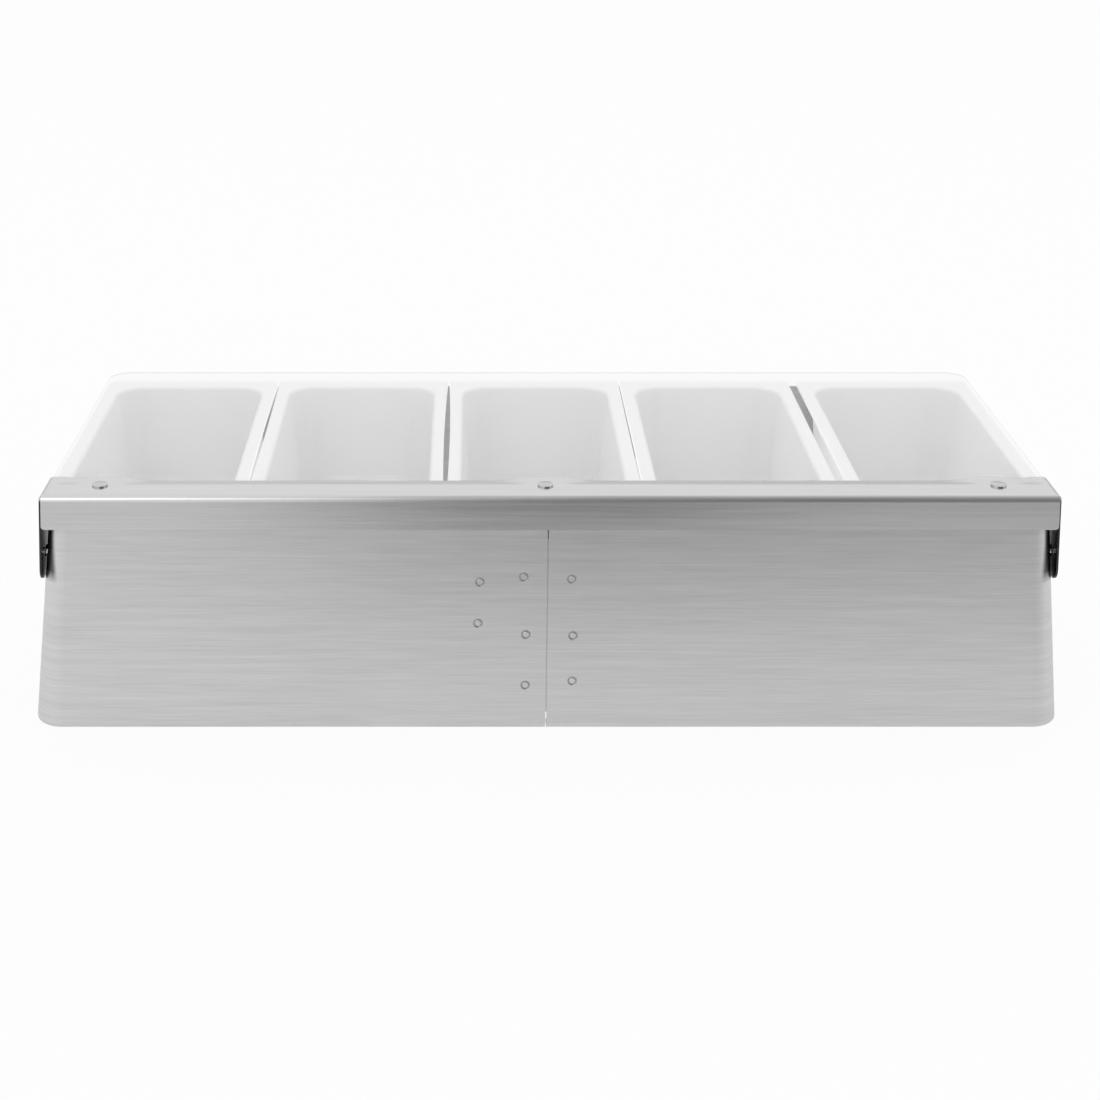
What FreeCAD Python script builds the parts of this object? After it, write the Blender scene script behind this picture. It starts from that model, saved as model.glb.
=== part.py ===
"""Bar condiment holder: steel skirt, five hanging plastic trays and a clear lid on a hinge strip.

Millimetres. X runs along the body, -Y is the hinge side, +Z is up. The origin is on the table,
under the middle of the overall box.
"""
import FreeCAD, Part
import math
import os

from FreeCAD import Vector

# Steel body
body_top_length = 443.0
body_top_depth = 174.2
body_height = 105.5
end_flare = 14.2
side_flare = 6.3
body_sheet = 0.8
top_corner_radius = 9.0
base_corner_radius = 13.0
base_bend_radius = 2.0
base_return = 8.0
seam_gap = 0.5
seam_offset = -0.6

# Spot welds beside the seam: distance from the body's middle and height above the table
weld_spots = (
    (-30.7, 71.4),
    (-11.2, 73.8),
    (10.2, 72.8),
    (-31.6, 51.7),
    (-10.0, 46.2),
    (11.2, 45.7),
    (-10.1, 21.5),
    (11.2, 23.6),
)
weld_ring_radius = 1.7
weld_groove_radius = 0.6
weld_groove_depth = 0.22

# Backing strap behind the seam
strap_width = 72.0
strap_foot = 8.0
strap_head_room = 14.0
strap_sheet = 0.8
weld_clearance = 0.02

# Trays
tray_width = 88.2
tray_gaps = (0.5, 0.7, 0.6, 4.4)
tray_end_overlap = 2.1
tray_fit = 0.01
tray_row_shift = -0.05
tray_side_bows = ((0.15, 0.7), (0.5, 1.1), (1.1, 0.15), (0.15, 0.15), (0.15, 0.15))
tray_rear_overlap = 0.5
tray_front_overlap = 1.5
tray_rim = 2.0
tray_side_rim = 7.0
tray_end_rim = 9.0
tray_wall = 1.5
tray_floor = 2.0
tray_depth = 57.0
tray_draft_deg = 4.0
tray_corner_radius = 13.0
tray_floor_radius = 8.0
tray_lip_radius = 2.0
rim_corner_radius = 1.5
rim_edge_radius = 0.6
tray_seat_clearance = 0.05

# Lid
lid_end_overlap = 1.9
lid_thickness = 1.5
lid_play = 1.3
lid_front_overhang = 8.5
lid_rear_clearance = 2.1
lid_front_radius = 10.0
lid_rear_radius = 2.0
lid_edge_radius = 0.35

# Hinge strip
strip_sheet = 0.9
strip_depth = 25.0
strip_bend_radius = 2.8
flange_height = 15.55
flange_clearance = 0.4
flange_corner_radius = 1.5
crease_depth = 16.7
droop = 0.7
droop_setback = 3.0
flat_half_width = 7.0
droop_run = 16.0
end_droop = 0.35
end_flat = 6.0
ear_gap = 1.5
ear_splay_deg = 4.3
ear_relief = 0.2
ear_end_width = 13.7
ear_below_pivot = 13.6
ear_shoulder = 2.8
flange_end_inset = 1.6
pivot_drop = 28.85
pivot_inset = 5.4

# Rivets that hold the lid
rivet_end_inset = 25.2
middle_rivet_shift = -1.7
rivet_inset = 14.3
rivet_head_radius = 3.5
rivet_head_edge = 0.65
rivet_head_crown = 0.45
rivet_shank_radius = 1.6
rivet_tail_radius = 3.0
rivet_tail_height = 0.6
rivet_clearance = 0.05
spacer_radius = 3.4
spacer_thickness = 0.8

# Pivot pins
pin_radius = 1.6
pin_clearance = 0.05
pin_proud = 0.35
pin_chamfer = 0.2
pin_tail = 0.9
washer_radius = 2.8
washer_thickness = 0.4
retainer_radius = 3.2
retainer_thickness = 0.8
seat_clearance = 0.03

# Levels, from the table up
tray_rim_bottom = body_height + tray_seat_clearance
tray_rim_top = tray_rim_bottom + tray_rim
lid_bottom = tray_rim_top + lid_play
lid_top = lid_bottom + lid_thickness
strip_bottom = lid_top + spacer_thickness
strip_top = strip_bottom + strip_sheet
flange_bottom = strip_top - flange_height
pivot_z = strip_top - pivot_drop

# Places along Y, measured from the middle of the body and then shifted so that the box is centred
front_reach = max(body_top_depth / 2 + lid_front_overhang, body_top_depth / 2 + side_flare)
body_y = (body_top_depth / 2 + side_flare - front_reach) / 2


def half_length(z):
    """Half the body's outer length at a height."""
    return body_top_length / 2 + end_flare * (1 - z / body_height)


def half_depth(z):
    """Half the body's outer depth at a height."""
    return body_top_depth / 2 + side_flare * (1 - z / body_height)


def corner_radius(z):
    """Outer corner radius of the body at a height."""
    return top_corner_radius + (base_corner_radius - top_corner_radius) * (1 - z / body_height)


flange_inner_y = body_y - half_depth(flange_bottom) - flange_clearance
flange_outer_y = flange_inner_y - strip_sheet
strip_front_y = flange_outer_y + strip_depth
ear_rear_y = flange_outer_y + strip_bend_radius + ear_relief
pivot_y = ear_rear_y + pivot_inset
rivet_y = flange_outer_y + rivet_inset
ear_slope = math.tan(math.radians(ear_splay_deg))
ear_inner_x = half_length(pivot_z) + ear_gap
ear_outer_x = ear_inner_x + strip_sheet / math.cos(math.radians(ear_splay_deg))
strip_half = ear_outer_x - ear_slope * pivot_drop
wall_lean = math.atan(end_flare / body_height)
tray_rear_y = body_y - body_top_depth / 2 - tray_rear_overlap
tray_front_y = body_y + body_top_depth / 2 + tray_front_overlap
rivet_reach = strip_half - rivet_end_inset
rivet_places = (-rivet_reach, middle_rivet_shift, rivet_reach)


def rounded_rectangle(half_x, half_y, radius, z, middle=(0.0, 0.0)):
    """Closed level wire of four lines and four quarter arcs."""
    cx, cy = middle
    inner_x = half_x - radius
    inner_y = half_y - radius
    diagonal = radius * math.sqrt(0.5)
    edges = []
    corners = ((1, -1), (1, 1), (-1, 1), (-1, -1))
    for i, (sx, sy) in enumerate(corners):
        if i % 2 == 0:
            start = Vector(cx + sx * inner_x, cy + sy * half_y, z)
            end = Vector(cx + sx * half_x, cy + sy * inner_y, z)
        else:
            start = Vector(cx + sx * half_x, cy + sy * inner_y, z)
            end = Vector(cx + sx * inner_x, cy + sy * half_y, z)
        mid = Vector(cx + sx * (inner_x + diagonal), cy + sy * (inner_y + diagonal), z)
        edges.append(Part.Arc(start, mid, end).toShape())
        nx, ny = corners[(i + 1) % 4]
        if i % 2 == 0:
            after = Vector(cx + nx * half_x, cy + ny * inner_y, z)
        else:
            after = Vector(cx + nx * inner_x, cy + ny * half_y, z)
        edges.append(Part.LineSegment(end, after).toShape())
    return Part.Wire(edges)


def loft(*wires):
    """Solid with straight walls through closed wires."""
    return Part.makeLoft(list(wires), True, True)


def edges_at_height(shape, z):
    """Edges that lie level at a height."""
    return [e for e in shape.Edges if abs(e.BoundBox.ZMin - z) < 1e-4 and abs(e.BoundBox.ZMax - z) < 1e-4]


def upright_edges(shape):
    """Straight edges that run along Z."""
    return [e for e in shape.Edges if e.BoundBox.XLength < 1e-4 and e.BoundBox.YLength < 1e-4]


def rod(radius, length, start, direction):
    """Plain cylinder."""
    return Part.makeCylinder(radius, length, start, direction)


def body_section(z, inset):
    """Outline of the body at a height, moved in by an inset."""
    radius = corner_radius(z) - inset
    return rounded_rectangle(half_length(z) - inset, half_depth(z) - inset, radius, z, (0, body_y))


def make_body_shell():
    """Flared skirt with a return along its bottom edge, a rear seam, weld marks and the pivot holes."""
    outer = loft(body_section(0, 0), body_section(body_height, 0))
    outer = outer.makeFillet(base_bend_radius, edges_at_height(outer, 0))
    above = body_height + body_sheet
    inner = loft(body_section(body_sheet, body_sheet), body_section(above, body_sheet))
    inner = inner.makeFillet(base_bend_radius - body_sheet, edges_at_height(inner, body_sheet))
    shell = outer.cut(inner)
    opening = Part.Face(body_section(0, base_return))
    opening.translate(Vector(0, 0, -body_sheet))
    shell = shell.cut(opening.extrude(Vector(0, 0, 3 * body_sheet)))
    seam_reach = side_flare + base_return
    seam = Part.makeBox(seam_gap, seam_reach + body_sheet, above + body_sheet)
    seam.translate(Vector(seam_offset - seam_gap / 2, body_y - half_depth(0) - body_sheet, -body_sheet))
    shell = shell.cut(seam)
    outward = Vector(0, -1, side_flare / body_height).normalize()
    cutters = [pin_hole()]
    for x, z in weld_spots:
        lift = weld_groove_radius - weld_groove_depth
        centre = Vector(x, body_y - half_depth(z), z) + outward * lift
        cutters.append(Part.makeTorus(weld_ring_radius, weld_groove_radius, centre, outward))
    return shell.cut(Part.makeCompound(cutters))


def make_seam_strap():
    """Flat strap against the inside of the rear wall, across the seam."""
    strap_head = body_height - strap_head_room
    points = []
    for z, inset in (
        (strap_foot, body_sheet + weld_clearance),
        (strap_head, body_sheet + weld_clearance),
        (strap_head, body_sheet + weld_clearance + strap_sheet),
        (strap_foot, body_sheet + weld_clearance + strap_sheet),
    ):
        points.append(Vector(seam_offset - strap_width / 2, body_y - half_depth(z) + inset, z))
    face = Part.Face(Part.makePolygon(points + points[:1]))
    return face.extrude(Vector(strap_width, 0, 0))


def make_tray(left, bows):
    """Tapered tray hung by a flat rim, whose long sides bow in a little."""
    right = left + tray_width
    middle = ((left + right) / 2, (tray_rear_y + tray_front_y) / 2)
    z = tray_rim_bottom
    corner = [
        Vector(left, tray_rear_y, z),
        Vector(right, tray_rear_y, z),
        Vector(right, tray_front_y, z),
        Vector(left, tray_front_y, z),
    ]
    outline = Part.Wire(
        [
            Part.LineSegment(corner[0], corner[1]).toShape(),
            Part.Arc(corner[1], Vector(right - bows[1], middle[1], z), corner[2]).toShape(),
            Part.LineSegment(corner[2], corner[3]).toShape(),
            Part.Arc(corner[3], Vector(left + bows[0], middle[1], z), corner[0]).toShape(),
        ]
    )
    rim = Part.Face(outline).extrude(Vector(0, 0, tray_rim))
    rim = rim.makeFillet(rim_corner_radius, upright_edges(rim))
    rim = rim.makeFillet(rim_edge_radius, edges_at_height(rim, tray_rim_top))

    taper = math.tan(math.radians(tray_draft_deg))
    cavity_x = tray_width / 2 - tray_side_rim
    cavity_y = (tray_front_y - tray_rear_y) / 2 - tray_end_rim
    floor_top = tray_rim_top - tray_depth + tray_floor
    tray_bottom = tray_rim_top - tray_depth

    def section(level, grow):
        inset = taper * (tray_rim_top - level)
        radius = tray_corner_radius - inset + grow
        return rounded_rectangle(cavity_x - inset + grow, cavity_y - inset + grow, radius, level, middle)

    tub = loft(section(tray_bottom, tray_wall), section(tray_rim_bottom + tray_rim / 2, tray_wall))
    tub = tub.makeFillet(tray_floor_radius + tray_wall, edges_at_height(tub, tray_bottom))
    cavity = loft(section(floor_top, 0), section(tray_rim_top + tray_rim, 0))
    cavity = cavity.makeFillet(tray_floor_radius, edges_at_height(cavity, floor_top))
    tray = rim.fuse(tub).cut(cavity).removeSplitter()
    lip = [
        e
        for e in edges_at_height(tray, tray_rim_top)
        if abs(e.CenterOfMass.x - middle[0]) < cavity_x + 0.1
        and abs(e.CenterOfMass.y - middle[1]) < cavity_y + 0.1
    ]
    return tray.makeFillet(tray_lip_radius, lip)


def tray_lefts():
    """Left edge of each tray: as many as lie on the body's length, with any spare length shared out."""
    room = body_top_length + 2 * tray_end_overlap
    gaps = []
    row = tray_width
    while row + tray_gaps[len(gaps) % len(tray_gaps)] + tray_width <= room + tray_fit:
        gaps.append(tray_gaps[len(gaps) % len(tray_gaps)])
        row += gaps[-1] + tray_width
    spare = (room - row) / max(len(gaps), 1)
    places = [tray_row_shift - room / 2]
    for gap in gaps:
        places.append(places[-1] + tray_width + gap + spare)
    return places


def strip_section(x, fall, setback):
    """Folded section of the hinge strip, whose front edge falls and steps back between the rivets."""
    bend = strip_bend_radius
    inner = bend - strip_sheet
    oy = flange_outer_y
    turn = math.sqrt(0.5)
    crease_y = oy + crease_depth
    tip_y = strip_front_y - setback

    def at(y, z):
        return Vector(x, y, z)

    outer_arc = Part.Arc(
        at(oy, strip_top - bend),
        at(oy + bend * (1 - turn), strip_top - bend * (1 - turn)),
        at(oy + bend, strip_top),
    )
    inner_arc = Part.Arc(
        at(oy + bend, strip_bottom),
        at(oy + bend - inner * turn, strip_top - bend + inner * turn),
        at(oy + strip_sheet, strip_top - bend),
    )
    run = [
        Part.LineSegment(at(oy, flange_bottom), at(oy, strip_top - bend)),
        outer_arc,
        Part.LineSegment(at(oy + bend, strip_top), at(crease_y, strip_top)),
        Part.LineSegment(at(crease_y, strip_top), at(tip_y, strip_top - fall)),
        Part.LineSegment(at(tip_y, strip_top - fall), at(tip_y, strip_bottom - fall)),
        Part.LineSegment(at(tip_y, strip_bottom - fall), at(crease_y, strip_bottom)),
        Part.LineSegment(at(crease_y, strip_bottom), at(oy + bend, strip_bottom)),
        inner_arc,
        Part.LineSegment(at(oy + strip_sheet, strip_top - bend), at(oy + strip_sheet, flange_bottom)),
        Part.LineSegment(at(oy + strip_sheet, flange_bottom), at(oy, flange_bottom)),
    ]
    return Part.Wire([part.toShape() for part in run])


def make_ear(side):
    """Ear bent down from one end of the strip, splayed along the body's end wall, with a round end."""
    bend = strip_bend_radius
    inner = bend - strip_sheet
    splay = math.radians(ear_splay_deg)
    low = pivot_z - ear_below_pivot - strip_sheet
    centre_x = strip_half - bend
    centre_z = strip_top - bend

    def at(x, z):
        return Vector(side * x, ear_rear_y, z)

    def on_arc(radius, angle):
        return at(centre_x + radius * math.sin(angle), centre_z + radius * math.cos(angle))

    turn = math.pi / 2 - splay
    top_outer = on_arc(bend, 0)
    end_outer = on_arc(bend, turn)
    top_inner = on_arc(inner, 0)
    end_inner = on_arc(inner, turn)
    leaf_outer = at(abs(end_outer.x) + (end_outer.z - low) * math.tan(splay), low)
    leaf_inner = at(abs(end_inner.x) + (end_inner.z - low) * math.tan(splay), low)
    root_x = centre_x - 2 * bend
    wire = Part.Wire(
        [
            Part.LineSegment(at(root_x, strip_top), top_outer).toShape(),
            Part.Arc(top_outer, on_arc(bend, turn / 2), end_outer).toShape(),
            Part.LineSegment(end_outer, leaf_outer).toShape(),
            Part.LineSegment(leaf_outer, leaf_inner).toShape(),
            Part.LineSegment(leaf_inner, end_inner).toShape(),
            Part.Arc(end_inner, on_arc(inner, turn / 2), top_inner).toShape(),
            Part.LineSegment(top_inner, at(root_x, strip_bottom)).toShape(),
            Part.LineSegment(at(root_x, strip_bottom), at(root_x, strip_top)).toShape(),
        ]
    )
    leaf = Part.Face(wire).extrude(Vector(0, strip_front_y - ear_rear_y, 0))
    return leaf.common(make_ear_outline(side))


def make_ear_outline(side):
    """Side view of an ear, as deep as the strip at its top and tapered in front to a round end."""
    radius = ear_end_width / 2
    centre_y = ear_rear_y + radius
    centre_z = pivot_z - ear_below_pivot + radius
    over = strip_top + strip_bend_radius
    shoulder_z = strip_top - ear_shoulder
    away_y = strip_front_y - centre_y
    away_z = shoulder_z - centre_z
    turn = math.atan2(away_z, away_y) - math.acos(radius / math.hypot(away_y, away_z))

    def at(y, z):
        return Vector(0, y, z)

    rear_over = at(ear_rear_y, over)
    front_over = at(strip_front_y, over)
    shoulder = at(strip_front_y, shoulder_z)
    touch = at(centre_y + radius * math.cos(turn), centre_z + radius * math.sin(turn))
    lowest = at(centre_y, centre_z - radius)
    rear_low = at(ear_rear_y, centre_z)
    wire = Part.Wire(
        [
            Part.LineSegment(rear_over, front_over).toShape(),
            Part.LineSegment(front_over, shoulder).toShape(),
            Part.LineSegment(shoulder, touch).toShape(),
            Part.Arc(touch, lowest, rear_low).toShape(),
            Part.LineSegment(rear_low, rear_over).toShape(),
        ]
    )
    return Part.Face(wire).extrude(Vector(side * (ear_outer_x + strip_depth), 0, 0))


def flange_end_x(z):
    """Where the flange ends: it follows the splayed ear and leaves part of the ear's thickness showing."""
    return ear_outer_x + ear_slope * (pivot_z - z) - flange_end_inset


def make_strip_trims(side):
    """What is cut away past one end of the strip: behind the ear and where the ear bends down."""
    far = flange_end_x(flange_bottom) + strip_depth
    over = strip_top + strip_sheet
    under = flange_bottom - strip_sheet
    points = [
        Vector(side * flange_end_x(over), flange_outer_y - strip_sheet, over),
        Vector(side * far, flange_outer_y - strip_sheet, over),
        Vector(side * far, flange_outer_y - strip_sheet, under),
        Vector(side * flange_end_x(under), flange_outer_y - strip_sheet, under),
    ]
    behind = Part.Face(Part.makePolygon(points + points[:1]))
    trims = [behind.extrude(Vector(0, ear_rear_y - flange_outer_y + strip_sheet, 0))]
    near_x = strip_half - strip_bend_radius
    block = Part.makeBox(far - near_x, strip_front_y + strip_sheet - ear_rear_y, over - under)
    block.translate(Vector(near_x if side > 0 else -far, ear_rear_y, under))
    trims.append(block)
    return trims


def make_hinge_strip():
    """Strip folded along its rear edge, with its front edge turned down between the rivets."""
    reach = flange_end_x(flange_bottom) + strip_sheet
    stations = []
    last = None
    for place in rivet_places:
        if last is None:
            stations.append((-reach, 0.0, 0.0))
            stations.append((-strip_half + end_flat, 0.0, 0.0))
            stations.append(((place - flat_half_width - strip_half + end_flat) / 2, end_droop, 0.0))
        else:
            stations.append((last + flat_half_width + droop_run, droop, droop_setback))
            stations.append((place - flat_half_width - droop_run, droop, droop_setback))
        stations.append((place - flat_half_width, 0.0, 0.0))
        stations.append((place + flat_half_width, 0.0, 0.0))
        last = place
    stations.append(((last + flat_half_width + strip_half - end_flat) / 2, end_droop, 0.0))
    stations.append((strip_half - end_flat, 0.0, 0.0))
    stations.append((reach, 0.0, 0.0))
    strip = loft(*[strip_section(*station) for station in stations])
    strip = strip.cut(Part.makeCompound(make_strip_trims(-1) + make_strip_trims(1)))
    low_corners = [
        e
        for e in strip.Edges
        if abs(e.BoundBox.ZMax - flange_bottom) < 1e-4
        and e.BoundBox.XLength < 1e-4
        and abs(abs(e.CenterOfMass.x) - flange_end_x(flange_bottom)) < 1e-3
    ]
    strip = strip.makeFillet(flange_corner_radius, low_corners)
    strip = strip.fuse([make_ear(-1), make_ear(1)]).removeSplitter()
    holes = [pin_hole()]
    for x in rivet_places:
        holes.append(rivet_hole(x))
    return strip.cut(Part.makeCompound(holes))


def rivet_hole(x):
    """Clearance hole for one lid rivet, through strip, spacer and lid."""
    bottom = lid_bottom - lid_thickness
    length = strip_top + lid_thickness - bottom
    return rod(rivet_shank_radius + rivet_clearance, length, Vector(x, rivet_y, bottom), Vector(0, 0, 1))


def make_lid_panel():
    """Flat clear sheet with round front corners, held under the strip."""
    rear = flange_inner_y + lid_rear_clearance
    front = body_y + body_top_depth / 2 + lid_front_overhang
    half = body_top_length / 2 + lid_end_overlap
    panel = Part.makeBox(2 * half, front - rear, lid_thickness)
    panel.translate(Vector(-half, rear, lid_bottom))
    middle = (front + rear) / 2
    uprights = upright_edges(panel)
    panel = panel.makeFillet(lid_front_radius, [e for e in uprights if e.CenterOfMass.y > middle])
    uprights = upright_edges(panel)
    rear_corners = [e for e in uprights if abs(e.CenterOfMass.y - rear) < 1e-4]
    panel = panel.makeFillet(lid_rear_radius, rear_corners)
    panel = panel.makeFillet(lid_edge_radius, edges_at_height(panel, lid_top))
    return panel.cut(Part.makeCompound([rivet_hole(x) for x in rivet_places]))


def make_rivet(x):
    """Rivet with a low crowned head on the strip and a flat tail under the lid."""
    up = Vector(0, 0, 1)
    crown_z = strip_top + rivet_head_edge
    dome = (rivet_head_radius ** 2 + rivet_head_crown ** 2) / (2 * rivet_head_crown)
    ball = Part.makeSphere(dome, Vector(x, rivet_y, crown_z + rivet_head_crown - dome))
    height = rivet_head_edge + rivet_head_crown
    head = ball.common(rod(rivet_head_radius, height, Vector(x, rivet_y, strip_top), up))
    tail = rod(rivet_tail_radius, rivet_tail_height, Vector(x, rivet_y, lid_bottom - rivet_tail_height), up)
    shank = rod(rivet_shank_radius, strip_top - lid_bottom, Vector(x, rivet_y, lid_bottom), up)
    return head.fuse([shank, tail]).removeSplitter()


def make_spacer(x):
    """Washer between the strip and the lid."""
    ring = rod(spacer_radius, spacer_thickness, Vector(x, rivet_y, lid_top), Vector(0, 0, 1))
    return ring.cut(rivet_hole(x))


def make_pivot_pin(side):
    """Plain pin from inside the body to just past the ear's outer face, with a small chamfer."""
    tail_x = retainer_x() - retainer_thickness - pin_tail
    end_x = ear_outer_x + pin_proud
    pin = rod(pin_radius, end_x - tail_x, Vector(side * tail_x, pivot_y, pivot_z), Vector(side, 0, 0))
    rim = [e for e in pin.Edges if abs(e.BoundBox.XMax - side * end_x) < 1e-4 and e.BoundBox.XLength < 1e-4]
    return pin.makeChamfer(pin_chamfer, rim)


def pin_hole():
    """Clearance hole along both pivot pins."""
    reach = 2 * half_length(0)
    return rod(pin_radius + pin_clearance, 2 * reach, Vector(-reach, pivot_y, pivot_z), Vector(1, 0, 0))


def retainer_x():
    """Place of the ring inside the body, clear of the leaning end wall and its rounded corner."""
    wall_x = half_length(pivot_z) - body_sheet
    radius = corner_radius(pivot_z) - body_sheet
    room = half_depth(pivot_z) - body_sheet - (body_y - pivot_y) - retainer_radius
    into_corner = max(0.0, radius - room)
    curve = radius - math.sqrt(radius ** 2 - into_corner ** 2)
    return wall_x - curve - retainer_radius * math.tan(wall_lean) - seat_clearance


def make_pivot_washer(side):
    """Thin washer on the pin that lies flat on the outside of the leaning end wall."""
    outward = Vector(side * math.cos(wall_lean), 0, math.sin(wall_lean))
    seat = Vector(side * half_length(pivot_z), pivot_y, pivot_z) + outward * seat_clearance
    return rod(washer_radius, washer_thickness, seat, outward).cut(pin_hole())


def make_pin_retainer(side):
    """Ring pressed on the pin's tail inside the body."""
    start = Vector(side * retainer_x(), pivot_y, pivot_z)
    ring = rod(retainer_radius, retainer_thickness, start, Vector(-side, 0, 0))
    return ring.cut(pin_hole())


def save(name, shape):
    """Check a piece and write it to its own file."""
    if not shape.isValid():
        raise ValueError(name + " is not a valid shape")
    solids = shape.Solids
    print(name, len(solids), "solid(s), volume", round(sum(s.Volume for s in solids), 2))
    piece = solids[0] if len(solids) == 1 else Part.makeCompound(solids)
    piece.exportStep("parts/" + name + ".step")


os.makedirs("parts", exist_ok=True)
save("body_shell", make_body_shell())
save("seam_strap", make_seam_strap())
for index, left in enumerate(tray_lefts()):
    save("tray_%d" % (index + 1), make_tray(left, tray_side_bows[index % len(tray_side_bows)]))
save("hinge_strip", make_hinge_strip())
save("lid_panel", make_lid_panel())
save("lid_rivets", Part.makeCompound([make_rivet(x) for x in rivet_places]))
save("lid_spacers", Part.makeCompound([make_spacer(x) for x in rivet_places]))
for name, side in (("left", -1), ("right", 1)):
    save(name + "_pivot_pin", make_pivot_pin(side))
    save(name + "_pivot_washer", make_pivot_washer(side))
    save(name + "_pin_retainer", make_pin_retainer(side))
print("pivot", round(pivot_y, 4), round(pivot_z, 4))
print("strip top", round(strip_top, 3), "body middle", round(body_y, 4))
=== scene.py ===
# %% [markdown]
# # A bar condiment holder, dressed for a studio picture
#
# The object is a low box of brushed stainless steel. Five white plastic trays hang in it side by
# side, and a clear flat lid lies over them. The lid is riveted under a folded steel strip, whose two
# ears turn on pins at the rear corners. The picture looks at the rear wall from a little above.
#
# The solid model arrives as a fixed frame, already at its real size in metres. What is left to do
# here is what a solid model can't say: how each surface takes the light.

# %% Load the frame
import math

import bpy
import numpy as np
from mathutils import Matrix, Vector


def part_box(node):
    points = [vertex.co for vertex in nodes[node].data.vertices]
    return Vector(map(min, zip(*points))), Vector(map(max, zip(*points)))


MM = 0.001
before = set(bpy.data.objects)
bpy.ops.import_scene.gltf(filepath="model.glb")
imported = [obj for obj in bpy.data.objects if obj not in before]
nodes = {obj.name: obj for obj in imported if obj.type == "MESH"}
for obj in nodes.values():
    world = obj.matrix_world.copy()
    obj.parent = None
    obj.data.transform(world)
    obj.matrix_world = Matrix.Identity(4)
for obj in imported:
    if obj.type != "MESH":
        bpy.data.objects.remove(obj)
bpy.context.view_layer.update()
scene = bpy.context.scene
scene.view_settings.view_transform = "Standard"
print("nodes:", ", ".join(sorted(nodes)))

# %% [markdown]
# ## The camera
#
# A camera is placed by what it sees. The strip's rear face and its top are the two planes that the
# picture shows best, so the camera stands at measured distances from them: behind the strip, above
# it, and a little to the left of its middle. It looks down by 23 degrees and doesn't turn sideways.
# The object sits right of the lens axis, so the film is shifted rather than the camera turned, which
# keeps level lines level.

# %% Camera
IMAGE_SIZE = 1100
VIEW_PITCH = math.radians(23.0)
FOCAL_PIXELS = 1910.6
AXIS_COLUMN = 472.0
FILM_WIDTH = 36.0
CAMERA_BEHIND_STRIP = 778.16 * MM
CAMERA_OVER_STRIP = 305.15 * MM
CAMERA_LEFT = 34.29 * MM

strip_low, strip_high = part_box("hinge_strip")
camera_data = bpy.data.cameras.new("photo_camera")
camera_data.sensor_width = FILM_WIDTH
camera_data.lens = FOCAL_PIXELS / IMAGE_SIZE * FILM_WIDTH
camera_data.shift_x = (IMAGE_SIZE / 2 - AXIS_COLUMN) / IMAGE_SIZE
camera_data.clip_start = 0.01
camera_data.clip_end = 50.0
camera = bpy.data.objects.new("photo_camera", camera_data)
camera.location = (
    -CAMERA_LEFT,
    strip_low.y - CAMERA_BEHIND_STRIP,
    strip_high.z + CAMERA_OVER_STRIP,
)
camera.rotation_euler = (math.pi / 2 - VIEW_PITCH, 0.0, 0.0)
scene.collection.objects.link(camera)
scene.camera = camera
print("camera at", [round(v, 4) for v in camera.location], "lens", round(camera_data.lens, 2))

# %% [markdown]
# ## Shader maths as expressions
#
# A material is a formula over the surface. Written as nodes it is hard to read, so a small class
# wraps an output of a node and lets Python's own operators add the Math nodes. The reflected forms
# are there so that `1 - mask` works as well as `mask - 1`.

# %% A number that changes over a surface


class Value:
    """A number that changes over a surface. Arithmetic on it adds Math nodes."""

    def __init__(self, finish, socket):
        self.finish = finish
        self.socket = socket

    def math(self, operation, first, second):
        return self.finish.node("ShaderNodeMath", {"operation": operation}, {0: first, 1: second})

    def __add__(self, other):
        return self.math("ADD", self, other)

    __radd__ = __add__

    def __mul__(self, other):
        return self.math("MULTIPLY", self, other)

    __rmul__ = __mul__

    def __sub__(self, other):
        return self.math("SUBTRACT", self, other)

    def __rsub__(self, other):
        return self.math("SUBTRACT", other, self)

    def __truediv__(self, other):
        return self.math("DIVIDE", self, other)

    def __pow__(self, other):
        return self.math("POWER", self, other)

    def __abs__(self):
        return self.math("ABSOLUTE", self, 0.0)

    def at_least(self, other):
        return self.math("MAXIMUM", self, other)

    def at_most(self, other):
        return self.math("MINIMUM", self, other)


print("a Value takes +, -, *, /, ** and abs, and can be held at_least or at_most a level")

# %% [markdown]
# ## One class for every node tree
#
# A material and the world are both trees of nodes that end in an output. One class holds such a
# tree, and a single method adds any node to it: the node's settings first, then its inputs. All the
# finishes below are made of a few short methods that build on that one.

# %% A tree of nodes


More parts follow.
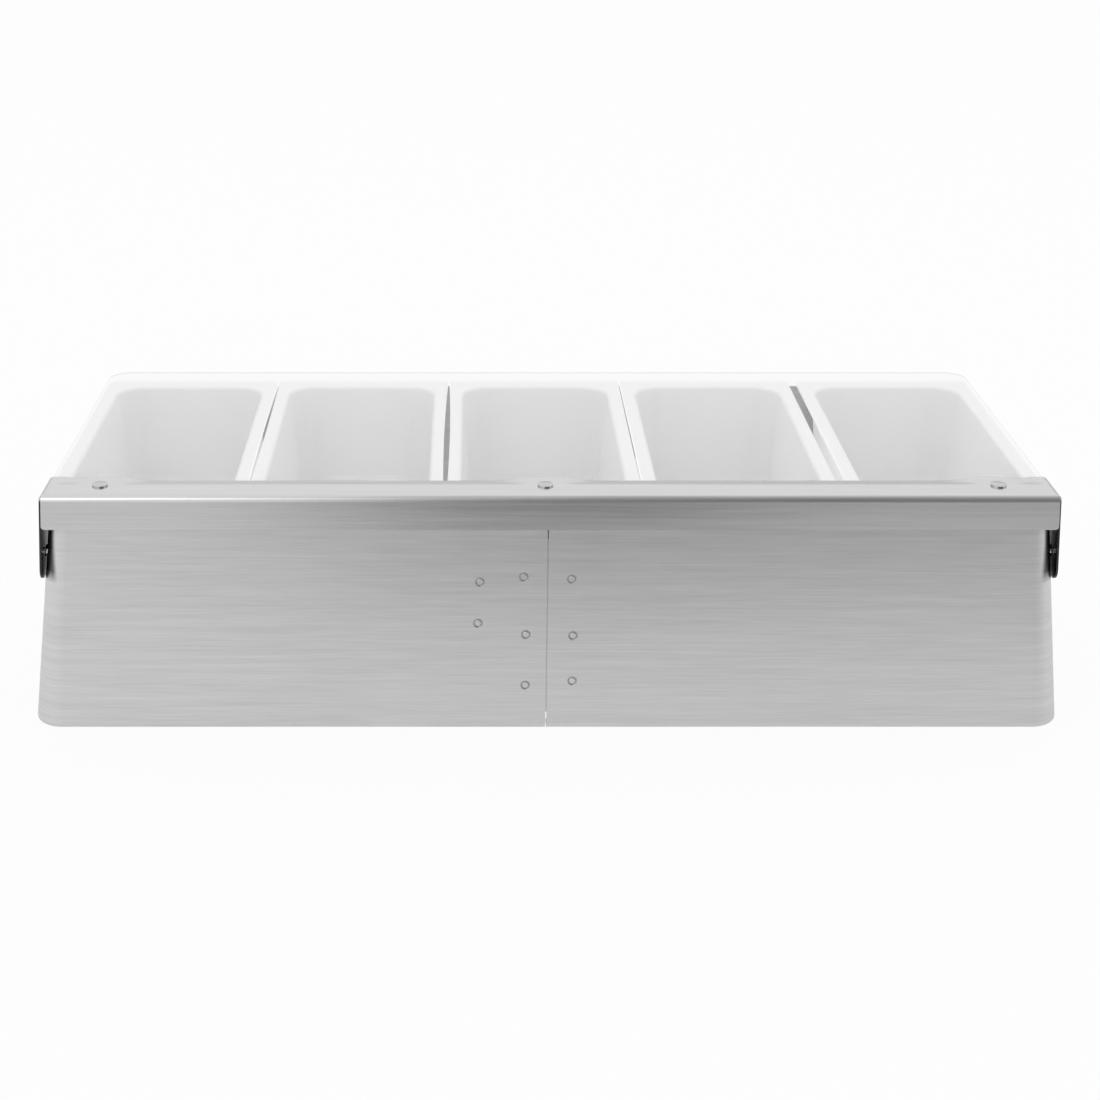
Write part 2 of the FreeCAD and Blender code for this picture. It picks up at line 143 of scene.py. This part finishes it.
class Finish:
    """The nodes of a material or of the world."""

    def __init__(self, owner, output_kind="ShaderNodeOutputMaterial"):
        owner.use_nodes = True
        self.owner = owner
        self.tree = owner.node_tree
        self.tree.nodes.clear()
        self.output = self.tree.nodes.new(output_kind)

    def put(self, socket, value):
        """Link a value to a socket, or write a plain number or colour into it."""
        if isinstance(value, Value):
            self.tree.links.new(value.socket, socket)
        else:
            socket.default_value = value

    def node(self, kind, settings=None, inputs=None, output=0):
        """Add a node: its settings first, then its inputs, and give one of its outputs."""
        made = self.tree.nodes.new(kind)
        for name, value in (settings or {}).items():
            if name == "stops":
                self.set_stops(made.color_ramp, value)
            else:
                setattr(made, name, value)
        for name, value in (inputs or {}).items():
            self.put(made.inputs[name], value)
        return Value(self, made.outputs[output])

    def set_stops(self, color_ramp, stops):
        """Give a colour ramp its stops, each a place from 0 to 1 and a colour."""
        while len(color_ramp.elements) < len(stops):
            color_ramp.elements.new(1.0)
        for element, (place, colour) in zip(color_ramp.elements, stops):
            element.position = place
            element.color = colour

    def surface(self, shader):
        """Make a shader the tree's surface, and give back the material or world."""
        self.tree.links.new(shader.socket, self.output.inputs["Surface"])
        return self.owner

    def place(self, stretch):
        """Object coordinates in metres, multiplied along X, Y and Z."""
        coordinates = self.node("ShaderNodeTexCoord", output="Object")
        return self.node(
            "ShaderNodeVectorMath", {"operation": "MULTIPLY"}, {0: coordinates, 1: stretch}
        )

    def axis(self, index):
        """One of the three object coordinates, in metres."""
        coordinates = self.node("ShaderNodeTexCoord", output="Object")
        return self.node("ShaderNodeSeparateXYZ", None, {0: coordinates}, output=index)

    def facing(self, index):
        """How far the face looks along one of the three axes, from -1 to 1."""
        normal = self.node("ShaderNodeNewGeometry", output="True Normal")
        return self.node("ShaderNodeSeparateXYZ", None, {0: normal}, output=index)

    def noise(self, stretch, detail=2.0, roughness=0.5):
        """Soft random pattern between 0 and 1, with its own stretch along each axis."""
        return self.node(
            "ShaderNodeTexNoise",
            {"noise_dimensions": "3D"},
            {"Vector": self.place(stretch), "Scale": 1.0, "Detail": detail, "Roughness": roughness},
        )

    def blend(self, factor, first, second):
        """Colour between two colours."""
        return self.node(
            "ShaderNodeMix", {"data_type": "RGBA"}, {0: factor, 6: first, 7: second}, output=2
        )

    def bump(self, height, strength, depth):
        """Normal of a surface raised by a height pattern, depth in metres."""
        return self.node(
            "ShaderNodeBump", None, {"Height": height, "Strength": strength, "Distance": depth}
        )

    def principled(self, inputs):
        """The shader that all the pieces of the object use."""
        return self.node("ShaderNodeBsdfPrincipled", None, inputs)


print("a Finish can make", ", ".join(name for name in vars(Finish) if not name.startswith("_")))

# %% [markdown]
# ## A few words for the formulas
#
# The marks on this object are patches with soft or sharp borders. A ramp gives a soft border, and a
# very steep one gives a sharp border. Both stay between 0 and 1, so they can be multiplied like
# stencils laid over each other. Another helper puts a finish on one of the solids.

# %% Small helpers
STEEP = 1.0e6


def new_finish(name):
    """An empty material."""
    return Finish(bpy.data.materials.new(name))


def grey(level):
    """A neutral colour."""
    return (level, level, level, 1.0)


def ramp(value, start, end):
    """0 before start, 1 after end and straight between."""
    return ((value - start) / (end - start)).at_least(0.0).at_most(1.0)


def above_zero(value):
    """1 where a value is above zero and 0 below, with a sharp edge."""
    return (value * STEEP).at_least(0.0).at_most(1.0)


def dress(node, material):
    """Give a solid of the frame its finish."""
    mesh = nodes[node].data
    mesh.materials.clear()
    mesh.materials.append(material)


print("solids to dress:", len(nodes))

# %% [markdown]
# ## Marks of the spot welds
#
# The body is one sheet, bent round until its two ends meet in the middle of the rear wall. A strap
# behind the seam holds them, and eight spot welds fasten the strap. Each weld leaves a faint ring on
# the outside. A ring is all the points whose distance from the weld is near one radius, so its
# formula is 1 minus the difference from that radius, in ring widths, and never below 0.

# %% Spot welds
WELD_SPOTS = (
    (-30.7, 71.4),
    (-11.2, 73.8),
    (10.2, 72.8),
    (-31.6, 51.7),
    (-10.0, 46.2),
    (11.2, 45.7),
    (-10.1, 21.5),
    (11.2, 23.6),
)
WELD_RING_RADIUS = 1.75 * MM
WELD_RING_HALF_WIDTH = 0.65 * MM
WELD_RING_SHADE = 0.65


def weld_rings(finish):
    """Share of each spot weld's ring at a point of the rear wall: 1 on the ring, 0 away from it."""
    across, depth, height = finish.axis(0), finish.axis(1), finish.axis(2)
    rings = 0.0
    for x, z in WELD_SPOTS:
        reach = ((across - x * MM) ** 2.0 + (height - z * MM) ** 2.0) ** 0.5
        off_ring = abs(reach - WELD_RING_RADIUS) / WELD_RING_HALF_WIDTH
        rings = (1 - off_ring).at_least(0.0) + rings
    on_rear_wall = above_zero(depth * -1.0)
    return rings * on_rear_wall


print("spot welds:", len(WELD_SPOTS), "rings of", WELD_RING_RADIUS / MM, "mm radius")

# %% [markdown]
# ## Painted shade where the ears turn
#
# Between each ear and the body's corner lies a narrow gap with the pin in it. Little light gets in,
# so its shade is painted dark onto the ears' inner faces and the body's corners beside them. Each
# patch is a product of ramps along X, Y and Z, which fades out softly at its borders.

# %% Painted shade at the pins
EAR_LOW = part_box("hinge_strip")[0].z
# Where the painted shade of the hinge gap lies on the body's corners.
HINGE_SHADE_ACROSS = (219.0 * MM, 221.0 * MM)
HINGE_SHADE_UP = (EAR_LOW + 0.5 * MM, EAR_LOW + 6.0 * MM)
HINGE_SHADE_BACK = (-70.0 * MM, -74.0 * MM)
EAR_INSIDE = (223.3 * MM, 223.6 * MM)
EAR_BEHIND = (strip_low.y + 1.5 * MM, strip_low.y + 2.0 * MM)
EAR_BELOW = (strip_high.z - 2.5 * MM, strip_high.z - 3.5 * MM)
LOOKS_OUTWARD = (0.3, 0.6)


def painted_hinge_shade_on_body(finish):
    """Painted shade on the rear corners, where the ears turn."""
    out = ramp(abs(finish.axis(0)), *HINGE_SHADE_ACROSS)
    up = ramp(finish.axis(2), *HINGE_SHADE_UP)
    back = ramp(finish.axis(1), *HINGE_SHADE_BACK)
    return out * up * back


def painted_hinge_shade_on_ears(finish):
    """Painted shade on the inner faces and cut edges of the two ears."""
    across = finish.axis(0)
    outside = ramp(finish.facing(0) * across / abs(across), *LOOKS_OUTWARD)
    out = ramp(abs(across), *EAR_INSIDE)
    behind = ramp(finish.axis(1), *EAR_BEHIND)
    below = ramp(finish.axis(2), *EAR_BELOW)
    return out * behind * below * (1 - outside)


print("ears reach down to", round(EAR_LOW / MM, 2), "mm")

# %% [markdown]
# ## Painted shade along the strip's crease
#
# The strip's front edge was turned down in a press. The bend shows on the top as a darker line of
# painted shade, which stops short of the ends and of each rivet, where the metal is drawn flat. It is
# painted a little darker to the right. A band of distance from one Y gives the line, and ramps along
# X break it.

# %% Crease
CREASE_Y = strip_low.y + 16.7 * MM
CREASE_HALF_WIDTH = (0.6 * MM, 2.4 * MM)
CREASE_UP = (strip_high.z - 4.0 * MM, strip_high.z - 3.0 * MM)
CREASE_ENDS = (216.0 * MM, 221.0 * MM)
CREASE_AROUND_RIVET = (8.0 * MM, 14.0 * MM)
CREASE_LEFT_TO_RIGHT = (-0.25, 0.25)
# How dark the crease's painted shade is, and how much darker it is painted at the right.
CREASE_SHADE = 0.1
CREASE_SHADE_MORE = 0.1
RIVET_PLACES = (-199.56 * MM, -1.7 * MM, 199.56 * MM)


def painted_crease_shade(finish):
    """Painted shade along the line where the strip's front edge was turned down, broken round each
    rivet.
    """
    across = finish.axis(0)
    line = 1 - ramp(abs(finish.axis(1) - CREASE_Y), *CREASE_HALF_WIDTH)
    on_top = ramp(finish.axis(2), *CREASE_UP)
    for x in RIVET_PLACES:
        line = line * ramp(abs(across - x), *CREASE_AROUND_RIVET)
    inside = 1 - ramp(abs(across), *CREASE_ENDS)
    shade = CREASE_SHADE + ramp(across, *CREASE_LEFT_TO_RIGHT) * CREASE_SHADE_MORE
    return line * on_top * inside * shade


print("crease at Y", round(CREASE_Y / MM, 2), "mm, broken at", len(RIVET_PLACES), "rivets")

# %% [markdown]
# ## Brushed stainless steel
#
# The sheet was brushed along its length before it was bent, so fine scratches run level round the
# body and along the strip. A scratch is long and thin: noise stretched forty times more along the
# sheet than across it draws it. It changes the colour a little, the roughness more, and the normal.

# %% Steel
FINE_SHARE = 0.6
BROAD_STRETCH = 0.3
STREAK_RANGE = (0.3, 0.7)
STREAK_ROUGHNESS = 0.16
SCRATCH_STRENGTH = 0.5
# Colour for the weld rings and for the painted shade at the hinges and along the crease.
DARK_MARKS_AND_SHADE = 0.02


def brushed_steel(name, tone, stretch, roughness, grain, depth=0.004, marks=None, shade=0.0):
    """Metal with long fine scratches.

    The stretch is the noise's frequency along X, Y and Z per metre, the grain is how far the tone
    swings, and the depth is that of a scratch in millimetres. Marks, which are weld rings and painted
    shade, darken the metal, as far as the shade says.
    """
    finish = new_finish(name)
    fine = finish.noise(stretch, 3.0, 0.6)
    broad = finish.noise(tuple(BROAD_STRETCH * s for s in stretch), 2.0)
    streak = fine * FINE_SHARE + broad * (1 - FINE_SHARE)
    contrast = ramp(streak, *STREAK_RANGE)
    colour = finish.blend(contrast, grey(tone * (1 - grain)), grey(tone * (1 + grain)))
    # Weld rings, and painted shade at the hinges and along the crease, darken the steel's colour.
    if marks is not None:
        colour = finish.blend(marks(finish) * shade, colour, grey(DARK_MARKS_AND_SHADE))
    shader = finish.principled(
        {
            "Base Color": colour,
            "Metallic": 1.0,
            "Roughness": roughness + (streak - 0.5) * STREAK_ROUGHNESS,
            "Normal": finish.bump(streak, SCRATCH_STRENGTH, depth * MM),
        }
    )
    return finish.surface(shader)


def body_welds_and_shade(finish):
    """Weld rings and the painted shade at the hinge corners together."""
    return (weld_rings(finish) * WELD_RING_SHADE).at_least(painted_hinge_shade_on_body(finish))


def strip_painted_shade(finish):
    """Painted shade on the ears' insides and along the crease, together."""
    return painted_hinge_shade_on_ears(finish).at_least(painted_crease_shade(finish))


ALONG_WALL = (34, 34, 1250)
ALONG_STRIP = (18, 1100, 1100)
EVEN = (600, 600, 600)
body_steel = brushed_steel(
    "body_steel", 0.66, ALONG_WALL, roughness=0.42, grain=0.1, marks=body_welds_and_shade, shade=0.85
)
strip_steel = brushed_steel(
    "strip_steel", 0.65, ALONG_STRIP, 0.24, grain=0.06, depth=0.003, marks=strip_painted_shade, shade=0.95
)
rivet_steel = brushed_steel("rivet_steel", 0.57, EVEN, roughness=0.14, grain=0.04)
# The pivot washers sit in the hinge gap: their steel is painted nearly black as the gap's shade.
washer_steel_painted_shade = brushed_steel("washer_steel_painted_shade", 0.1, EVEN, roughness=0.5, grain=0.1)
for name in ("body_shell", "seam_strap"):
    dress(name, body_steel)
dress("hinge_strip", strip_steel)
dress("lid_rivets", rivet_steel)
for side in ("left", "right"):
    dress(side + "_pivot_pin", rivet_steel)
    dress(side + "_pin_retainer", rivet_steel)
    dress(side + "_pivot_washer", washer_steel_painted_shade)
print("nodes in the body's steel:", len(body_steel.node_tree.nodes))

# %% [markdown]
# ## White trays
#
# The trays are moulded white plastic with a satin gloss, thin enough to let some light through. Light
# that falls into a tray leaves again through its walls, so the narrow gaps between two trays aren't
# black. Scattering inside the plastic could show that, but it is slow and turns the trays grey. Here
# the outer face of each wall, under the rim, sheds a little light of its own instead.

# %% Trays
RIM_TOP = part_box("tray_1")[1].z
RIM_EDGE = 0.3 * MM
# Painted glow on the trays' outer walls, standing in for light through the plastic.
PAINTED_WALL_GLOW = 0.2
TRAY_TONES = (0.945, 0.965)
MOTTLE = (90, 90, 90)
ORANGE_PEEL = (1800, 1800, 1800)
TRAY_COUNT = 5


def white_plastic(tray):
    """White plastic whose outer side, under the rim, glows a little: painted light that stands in
    for light passing through the wall.

    A face is on the outer side where it looks away from the tray's middle: its normal and its
    distance from the middle, both along X, then have the same sign.
    """
    finish = new_finish("white_" + tray)
    low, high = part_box(tray)
    middle_x = (low.x + high.x) / 2
    outward = above_zero(finish.facing(0) * (finish.axis(0) - middle_x))
    below_rim = above_zero(RIM_TOP - RIM_EDGE - finish.axis(2))
    mottle = finish.noise(MOTTLE, 3.0)
    shader = finish.principled(
        {
            "Base Color": finish.blend(mottle, *[grey(tone) for tone in TRAY_TONES]),
            "Roughness": 0.3 + mottle * 0.1,
            "Normal": finish.bump(finish.noise(ORANGE_PEEL, 2.0), 0.15, 0.02 * MM),
            # The painted glow: outer wall faces below the rim give off a fixed light.
            "Emission Color": finish.blend(outward * below_rim, grey(0.0), grey(1.0)),
            "Emission Strength": PAINTED_WALL_GLOW,
        }
    )
    return finish.surface(shader)


for number in range(1, TRAY_COUNT + 1):
    dress("tray_%d" % number, white_plastic("tray_%d" % number))
print("trays:", TRAY_COUNT, "rim at", round(RIM_TOP / MM, 2), "mm")

# %% [markdown]
# ## Nylon spacers and the clear lid
#
# Three nylon washers keep the lid off the strip. The lid is clear sheet: light passes straight
# through, a little is lost, and its cut edge shows as a thin grey line. A see-through shader with a
# small alpha keeps the trays below it lit, which bent light would not.

# %% Spacers and lid
NYLON_TONES = (0.7, 0.78)
NYLON_MOTTLE = (700, 700, 700)
LID_TONES = (0.22, 0.28)
LID_DUST = (60, 60, 60)
LID_HAZE = 0.03
LID_EDGE_HAZE = 0.22
LID_IOR = 1.49


def nylon():
    """Matte off-white plastic with a faint mottle."""
    finish = new_finish("washer_nylon")
    mottle = finish.noise(NYLON_MOTTLE, 3.0)
    shader = finish.principled(
        {
            "Base Color": finish.blend(mottle, *[grey(tone) for tone in NYLON_TONES]),
            "Roughness": 0.5 + mottle * 0.1,
        }
    )
    return finish.surface(shader)


def clear_sheet():
    """Clear sheet: nearly nothing on its flat faces, more on the upper part of its cut edge."""
    finish = new_finish("clear_lid")
    upright = abs(finish.facing(2))
    lid_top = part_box("lid_panel")[1].z
    upper = ramp(finish.axis(2), lid_top - 0.7 * MM, lid_top - 0.5 * MM)
    edge = (1 - upright).at_least(0.0) * upper
    dust = finish.noise(LID_DUST, 4.0)
    shader = finish.principled(
        {
            "Base Color": finish.blend(dust, *[grey(tone) for tone in LID_TONES]),
            "Roughness": 0.04 + dust * 0.03,
            "Alpha": LID_HAZE + edge * LID_EDGE_HAZE,
            "IOR": LID_IOR,
        }
    )
    return finish.surface(shader)


dress("lid_spacers", nylon())
dress("lid_panel", clear_sheet())
bare = [name for name in nodes if not nodes[name].data.materials]
print("solids left without a finish:", bare)

# %% [markdown]
# ## World and floor
#
# The picture is a cut-out on white, so the world and the floor answer the camera with plain white,
# and mirrors too, while the light that they shed stays softer. The floor lets a little of its own
# shading through, which keeps the soft shadow under the box.

# %% World and floor
WORLD_LIGHT = 0.95
FLOOR_SEEN = 0.93
FLOOR_MIRRORED = 0.6
FLOOR_TONE = 0.8
FLOOR_HALF = 6.0
FLOOR_LEVEL = -0.2 * MM


def ways_of_seeing(finish):
    """1 for a ray from the eye, off a mirror or through glass, each on its own."""
    names = ("Is Camera Ray", "Is Glossy Ray", "Is Transmission Ray")
    return [finish.node("ShaderNodeLightPath", output=name) for name in names]


def white_world():
    """White for the eye and for mirrors, and a softer level for the light that it sheds."""
    sky = Finish(bpy.data.worlds.new("studio"), "ShaderNodeOutputWorld")
    eye, mirror, through = ways_of_seeing(sky)
    seen = eye.at_least(mirror).at_least(through)
    strength = WORLD_LIGHT + seen * (1.0 - WORLD_LIGHT)
    inputs = {"Color": grey(1.0), "Strength": strength}
    return sky.surface(sky.node("ShaderNodeBackground", None, inputs))


def floor_finish():
    """White to the eye, less so to mirrors, with its own shading underneath."""
    finish = new_finish("floor_white")
    eye, mirror, through = ways_of_seeing(finish)
    matte = finish.node("ShaderNodeBsdfDiffuse", None, {"Color": grey(FLOOR_TONE)})
    glow = finish.node("ShaderNodeEmission", None, {"Color": grey(1.0), "Strength": 1.0})
    share = (eye * FLOOR_SEEN).at_least(mirror * FLOOR_MIRRORED).at_least(through * FLOOR_SEEN)
    return finish.surface(finish.node("ShaderNodeMixShader", None, {0: share, 1: matte, 2: glow}))


def flat_sheet(name, corners, material):
    """A stage sheet with four corners."""
    mesh = bpy.data.meshes.new(name)
    mesh.from_pydata(np.array(corners, dtype=float).tolist(), [], [(0, 1, 2, 3)])
    mesh.materials.append(material)
    sheet = bpy.data.objects.new(name, mesh)
    scene.collection.objects.link(sheet)
    return sheet


scene.world = white_world()
floor_corners = [
    (-FLOOR_HALF, -FLOOR_HALF, FLOOR_LEVEL),
    (FLOOR_HALF, -FLOOR_HALF, FLOOR_LEVEL),
    (FLOOR_HALF, FLOOR_HALF, FLOOR_LEVEL),
    (-FLOOR_HALF, FLOOR_HALF, FLOOR_LEVEL),
]
flat_sheet("floor", floor_corners, floor_finish())
print("floor:", 2 * FLOOR_HALF, "m wide at", FLOOR_LEVEL / MM, "mm")

# %% [markdown]
# ## Lamps
#
# Most of the light comes from the world. A large lamp above gives the trays some form, and mirrors
# don't show it, because its picture would lie as a false streak along the strip's bend. A lamp at the
# left is the other way round: it is the bright streak at the strip's left end, and lights nothing
# else. Both are weak enough for the white rims to stay below pure white when the lid is open.

# %% Lamps
LAMP_AIM = (0.0, 0.0, 0.06)


def softbox(name, place, size, power):
    """A flat lamp that faces the middle of the object."""
    data = bpy.data.lights.new(name, "AREA")
    data.shape = "RECTANGLE"
    data.size, data.size_y = size
    data.energy = power
    lamp = bpy.data.objects.new(name, data)
    lamp.location = place
    to_aim = Vector(LAMP_AIM) - Vector(place)
    lamp.rotation_euler = to_aim.to_track_quat("-Z", "Y").to_euler()
    scene.collection.objects.link(lamp)
    return lamp


top = softbox("top_softbox", place=(0.0, 0.5, 1.7), size=(1.6, 1.0), power=2.4)
top.visible_glossy = False
left = softbox("left_softbox", place=(-0.75, -0.8, 1.1), size=(0.9, 0.9), power=3.0)
left.visible_diffuse = False
print("lamps:", [(lamp.name, round(lamp.data.energy, 2)) for lamp in (top, left)])

# %% [markdown]
# ## Cards for the reflections
#
# Polished metal looks like what stands around it, so a studio puts up cards. These are graded from
# grey to pale along one axis and only mirrors show them: they give the strip its dark flange, its
# darker right side and the fine line along its bend, and take no light from the trays.

# %% Cards
NEAR_EDGE = -0.295
BACK_WALL = -1.5
DARK_LEFT, DARK_RIGHT = -0.15, 2.5
ROOM_HEIGHT = 3.0
ROOM_FRONT = 2.5
FLOOR_CARD_HALF = 2.0
BAND_Y, BAND_HALF, BAND_HEIGHT = 2.0, 3.0, 0.6
FLAG_X, FLAG_NEAR, FLAG_FAR, FLAG_HEIGHT = 1.3, 0.3, 2.2, 1.6
cards = []


def card_finish(name, axis, stops):
    """Grey that glows, graded along one axis: each stop is a place in metres and a level."""
    finish = new_finish(name)
    first, last = stops[0][0], stops[-1][0]
    share = (finish.axis(axis) - first) / (last - first)
    levels = [((place - first) / (last - first), grey(level)) for place, level in stops]
    tone = finish.node("ShaderNodeValToRGB", {"stops": levels}, {0: share})
    return finish.surface(finish.node("ShaderNodeEmission", None, {"Color": tone, "Strength": 1.0}))


def studio_card(name, corners, axis, stops):
    """A graded card that only mirrors show."""
    card = flat_sheet(name, corners, card_finish(name, axis, stops))
    card.visible_camera = False
    card.visible_diffuse = False
    card.visible_shadow = False
    card.visible_transmission = False
    cards.append(card)


studio_card(
    "dark_floor",
    [
        (-FLOOR_CARD_HALF, BACK_WALL, 0.0),
        (FLOOR_CARD_HALF, BACK_WALL, 0.0),
        (FLOOR_CARD_HALF, NEAR_EDGE, 0.0),
        (-FLOOR_CARD_HALF, NEAR_EDGE, 0.0),
    ],
    0,
    [(-2.0, 0.75), (-0.2, 0.75), (-0.05, 0.3), (0.05, 0.22), (0.2, 0.45), (2.0, 0.45)],
)
studio_card(
    "dark_wall",
    [
        (DARK_LEFT, BACK_WALL, 0.0),
        (DARK_RIGHT, BACK_WALL, 0.0),
        (DARK_RIGHT, BACK_WALL, ROOM_HEIGHT),
        (DARK_LEFT, BACK_WALL, ROOM_HEIGHT),
    ],
    2,
    [(0.0, 0.24), (1.0, 0.24), (2.0, 0.32), (3.0, 0.38)],
)
studio_card(
    "dark_ceiling",
    [
        (DARK_LEFT, BACK_WALL, ROOM_HEIGHT),
        (DARK_RIGHT, BACK_WALL, ROOM_HEIGHT),
        (DARK_RIGHT, ROOM_FRONT, ROOM_HEIGHT),
        (DARK_LEFT, ROOM_FRONT, ROOM_HEIGHT),
    ],
    1,
    [(BACK_WALL, 0.38), (0.0, 0.58), (ROOM_FRONT, 0.95)],
)
studio_card(
    "far_band",
    [
        (-BAND_HALF, BAND_Y, 0.0),
        (BAND_HALF, BAND_Y, 0.0),
        (BAND_HALF, BAND_Y, BAND_HEIGHT),
        (-BAND_HALF, BAND_Y, BAND_HEIGHT),
    ],
    0,
    [(-BAND_HALF, 0.8), (0.0, 0.68), (BAND_HALF, 0.5)],
)
for x, name in ((-FLAG_X, "left_flag"), (FLAG_X, "right_flag")):
    studio_card(
        name,
        [
            (x, FLAG_NEAR, 0.0),
            (x, FLAG_FAR, 0.0),
            (x, FLAG_FAR, FLAG_HEIGHT),
            (x, FLAG_NEAR, FLAG_HEIGHT),
        ],
        2,
        [(0.0, 0.55), (FLAG_HEIGHT, 0.7)],
    )
print("cards:", ", ".join(card.name for card in cards))

# %% [markdown]
